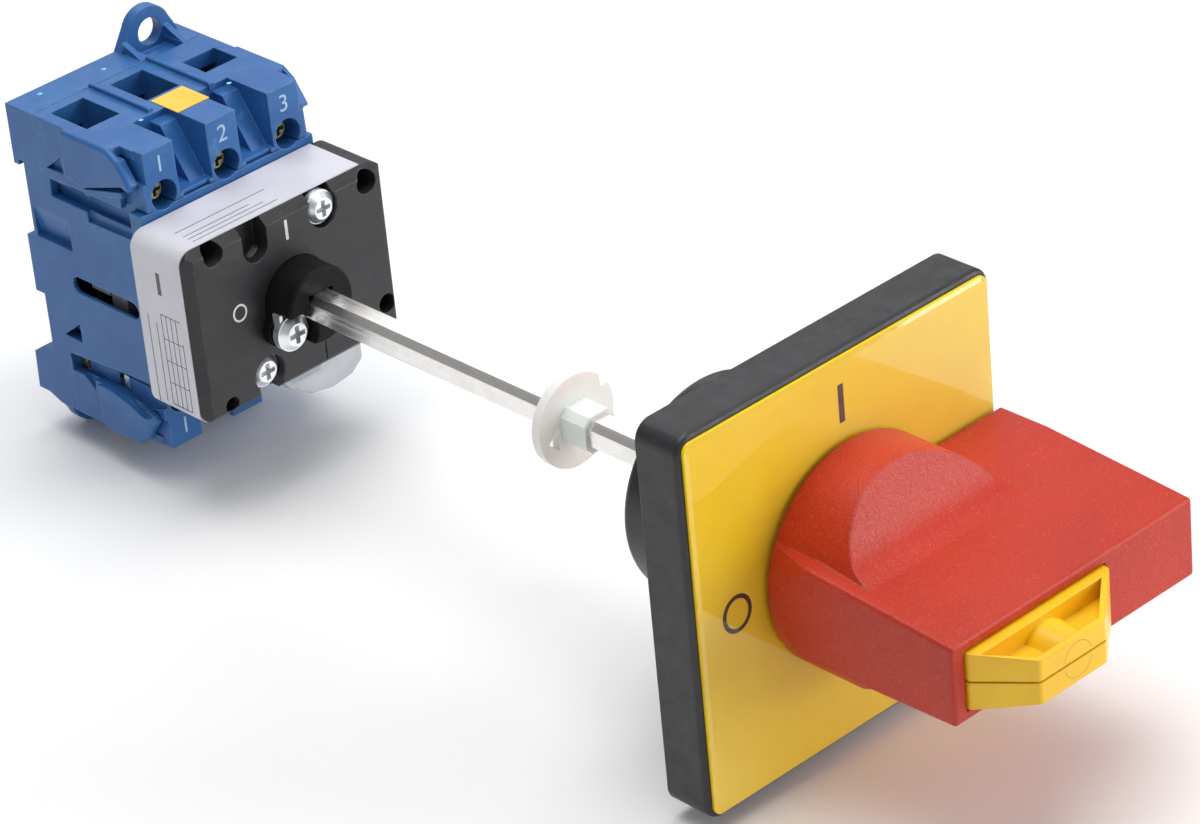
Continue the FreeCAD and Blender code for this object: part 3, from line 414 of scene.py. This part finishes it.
def new_piece(name, work, material, body):
    mesh = bpy.data.meshes.new(name)
    bmesh.ops.recalc_face_normals(work, faces=work.faces)
    work.to_mesh(mesh)
    work.free()
    return place_mesh(name, mesh, material, body)


def join_loops(work, first, second):
    """A band of four-sided faces between two closed loops of the same length."""
    for index in range(len(first)):
        following = (index + 1) % len(first)
        work.faces.new((first[index], first[following], second[following], second[index]))


def slab(work, origin, across, upwards, corners, thickness):
    """A thin printed shape: an outline in a plane, given a small thickness towards the viewer."""
    normal = across.cross(upwards).normalized()
    low = [work.verts.new(origin + across * a + upwards * b) for a, b in corners]
    high = [work.verts.new(vertex.co + normal * thickness) for vertex in low]
    work.faces.new(low)
    work.faces.new(list(reversed(high)))
    join_loops(work, high, low)


def ring(work, origin, across, upwards, outer, inner, thickness, count=40):
    """A flat printed ring; outer and inner are (half width, half height)."""
    normal = across.cross(upwards).normalized()
    loops = []
    for radii, lift in ((outer, 0.0), (outer, thickness), (inner, thickness), (inner, 0.0)):
        loop = []
        for index in range(count):
            angle = 2 * math.pi * index / count
            spot = origin + across * (radii[0] * math.cos(angle)) + upwards * (radii[1] * math.sin(angle))
            loop.append(work.verts.new(spot + normal * lift))
        loops.append(loop)
    for first, second in zip(loops, loops[1:] + loops[:1]):
        join_loops(work, first, second)


def rectangle(x0, x1, y0, y1):
    return [(x0, y0), (x1, y0), (x1, y1), (x0, y1)]


def bar_points(half_w, half_h):
    return rectangle(-half_w, half_w, -half_h, half_h)


def ink(name, colour):
    """Printing ink: slightly uneven in tone."""
    make = Recipe(name, roughness=0.45)
    low = tuple(channel * 0.8 for channel in colour)
    make.colour(make.mix(make.remap(make.noise(900.0, 4.0), 0.3, 0.7), low, colour))
    return make.material


def bar_sign(name, at_x, at_z, front, half, print_ink, body, slot):
    """The on sign: an upright bar, printed on a face that looks along -Y; sizes in mm."""
    work = bmesh.new()
    centre = Vector((at_x * MM, front, at_z * MM))
    slab(work, centre, EAST, NORTH, bar_points(half[0] * MM, half[1] * MM), PRINT)
    new_piece(name, work, print_ink, body)


def ring_sign(name, at_x, at_z, front, outer, line, print_ink, body, slot):
    """The off sign: a ring with a line of even width; sizes in mm."""
    work = bmesh.new()
    radii = tuple(half * MM for half in outer)
    inner = tuple((half - line) * MM for half in outer)
    ring(work, Vector((at_x * MM, front, at_z * MM)), EAST, NORTH, radii, inner, PRINT)
    new_piece(name, work, print_ink, body)


def legend_marks():
    """The plain on and off signs on the yellow sheet."""
    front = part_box("legend_sheet")[0].y
    dark = ink("dark_ink", (0.018, 0.014, 0.012))
    look = (dark, "door_unit", "black_plastic")
    bar_sign("legend_on_sign", 0.0, 23.6, front, (0.55, 3.1), *look)
    ring_sign("legend_off_sign", -23.4, 0.0, front, (2.9, 3.1), 0.7, *look)


def cover_marks():
    """The plain on and off signs printed on the black cover."""
    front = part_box("front_cover")[0].y
    white = ink("white_ink", (0.75, 0.75, 0.76))
    look = (white, "switch_body", "white_label")
    bar_sign("cover_on_sign", -0.4, 11.8, front, (0.28, 1.75), *look)
    ring_sign("cover_off_sign", -11.7, 1.7, front, (1.45, 1.55), 0.35, *look)


def rounded_loop(work, y, reach, radius):
    """A square loop of points with round corners, in the plane of a door plate."""
    points = []
    for corner_x, corner_z, start in ((1, 1, 0), (-1, 1, 90), (-1, -1, 180), (1, -1, 270)):
        for step in range(CORNER_STEPS + 1):
            angle = math.radians(start + 90 * step / CORNER_STEPS)
            x = (reach - radius) * corner_x + radius * math.cos(angle)
            z = (reach - radius) * corner_z + radius * math.sin(angle)
            points.append(work.verts.new((x, y, z)))
    return points


def glass_sheet():
    """The clear window as one skin: its face and sloping rim, a hair in front of the yellow sheet."""
    low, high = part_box("clear_window")
    half, corner, hole, slope = high.x, 1.5 * MM, 8.6 * MM, 0.45 * MM
    work = bmesh.new()
    face = rounded_loop(work, low.y, half - slope, corner)
    rim = rounded_loop(work, low.y + slope, half, corner)
    count = len(face)
    bore = []
    for index in range(count):
        angle = 2 * math.pi * (index + HALF_CORNER) / count
        bore.append(work.verts.new((hole * math.cos(angle), low.y, hole * math.sin(angle))))
    join_loops(work, bore, face)
    join_loops(work, face, rim)
    pane = new_piece("clear_window_look", work, MATERIALS["clear_pane"], "door_unit")
    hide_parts("clear_window")


def numeral(name, text, at, height, print_ink, body):
    """A plain numeral printed on a face that looks along -Y."""
    curve = bpy.data.curves.new(name, "FONT")
    curve.body, curve.size = text, height
    curve.align_x, curve.align_y = "CENTER", "CENTER"
    curve.extrude = 0.015 * MM
    source = bpy.data.objects.new(name + "_source", curve)
    mesh = bpy.data.meshes.new_from_object(source)
    mesh.transform(Matrix.Translation(Vector(at)) @ Matrix.Rotation(math.radians(90), 4, "X"))
    mesh.name = name
    bpy.data.objects.remove(source)
    place_mesh(name, mesh, print_ink, body)


def terminal_numerals():
    """Plain numbers on the terminal blocks; the blocks' feet stand out 0.2 mm past the faces."""
    pale = ink("pale_blue_ink", (0.42, 0.60, 0.80))
    height = 4.2 * MM
    for deck, prefix, z in (("line_terminal_deck", "line_number", 24.5),
                            ("load_terminal_deck", "load_number", -24.5)):
        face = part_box(deck)[0].y + 0.18 * MM
        for number in (1, 2, 3):
            at = ((number - 2) * POLE_PITCH * MM, face, z * MM)
            numeral("%s_%d" % (prefix, number), str(number), at, height, pale, "switch_body")


def label_rules():
    """Thin printed rule lines on the blank label, in place of its text; sizes in mm."""
    low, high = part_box("wrap_label")
    grey = ink("grey_ink", (0.10, 0.10, 0.11))
    work = bmesh.new()
    bottom, top = -13.4, 3.0
    for y, z0, z1 in ((-40.6, bottom, -1.0), (-39.4, bottom, top), (-38.2, bottom, top),
                      (-37.0, bottom, top), (-35.8, bottom, top), (-34.4, bottom, 1.0),
                      (-32.4, -14.0, 2.0)):
        corners = rectangle(-RULE_HALF, RULE_HALF, z0 * MM, z1 * MM)
        slab(work, Vector((low.x, y * MM, 0)), -INWARD, NORTH, corners, RULE)
    for z in (bottom, -9.4, -5.4, -1.4, top):
        centre = Vector((low.x, -38.2 * MM, z * MM))
        slab(work, centre, -INWARD, NORTH, bar_points(2.4 * MM, 0.07 * MM), RULE)
    stroke = Vector((low.x, -36.4 * MM, 8.6 * MM))
    slab(work, stroke, -INWARD, NORTH, bar_points(0.45 * MM, 2.0 * MM), RULE)
    left = -16.6
    for y, right in ((-40.8, 1.0), (-39.6, -1.0), (-38.4, -3.0), (-36.4, 2.0)):
        corners = rectangle(left * MM, right * MM, -RULE_HALF, RULE_HALF)
        slab(work, Vector((0, y * MM, high.z)), EAST, INWARD, corners, RULE)
    new_piece("label_rule_lines", work, grey, "switch_body")


def slider_mark():
    """A thin ring of painted shade on the slider's front, cut in two by the split."""
    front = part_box("padlock_slider_upper")[0].y - 0.01 * MM
    # painted shade: a dark orange ring line drawn on the slider's front
    shade = ink("slider_shade_line", (0.62, 0.36, 0.01))
    centre_x, radius, width, steps = -2.2 * MM, 2.9 * MM, 0.12 * MM, 24
    first_angle, sweep = 12.0, 156.0
    for name, side in (("slider_mark_upper", 1), ("slider_mark_lower", -1)):
        work = bmesh.new()
        rows = []
        for step in range(steps + 1):
            angle = math.radians(first_angle + sweep * step / steps) * side
            rows.append([work.verts.new((centre_x + reach * math.cos(angle), front, reach * math.sin(angle)))
                         for reach in (radius, radius - width)])
        for first, second in zip(rows, rows[1:]):
            work.faces.new((first[0], second[0], second[1], first[1]))
        new_piece(name, work, shade, "padlock_slider")


def moulding_dots():
    """Pale gate marks left on the upper deck by moulding: low, slightly uneven cones; sizes in mm."""
    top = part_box("deck_sticker")[0].z
    pale = ink("gate_mark", (0.25, 0.62, 0.86))
    work = bmesh.new()
    sides, rise, unevenness = 12, 0.12, 0.12
    for x, y, radius in ((-12.4, 0.5, 0.42), (-0.3, -1.0, 0.4), (-8.4, -20.4, 0.38), (8.8, -21.9, 0.4)):
        centre = Vector((x * MM, y * MM, top))
        crown = work.verts.new(centre + Vector((0, 0, rise * MM)))
        rim = []
        for index in range(sides):
            angle = 2 * math.pi * index / sides
            across = radius * MM * math.cos(angle) * (1 + unevenness * (index % 3))
            rim.append(work.verts.new(centre + Vector((across, radius * MM * math.sin(angle), 0.0))))
        for index in range(sides):
            work.faces.new((crown, rim[index], rim[(index + 1) % sides]))
    new_piece("deck_gate_marks", work, pale, "switch_body")


def dress_nodes():
    """Each CAD node's material: the one its slot names, unless LOOK_OF names a closer one."""
    for node, shown in frame["nodes"].items():
        shown.data.materials.clear()
        shown.data.materials.append(MATERIALS[LOOK_OF.get(node, SLOT_OF[node])])


# ---- the scene --------------------------------------------------------------------------

LOOK_OF = {"line_terminal_screws": "yellow_zinc", "load_terminal_screws": "yellow_zinc",
           "hub_coupler": "hub_black", "fixing_nut": "nut_black", "mounting_collar": "nut_black"}
MATERIALS = make_materials()
add_camera()
add_studio()
add_floor()
dress_nodes()
glass_sheet()
legend_marks()
cover_marks()
terminal_numerals()
label_rules()
slider_mark()
moulding_dots()
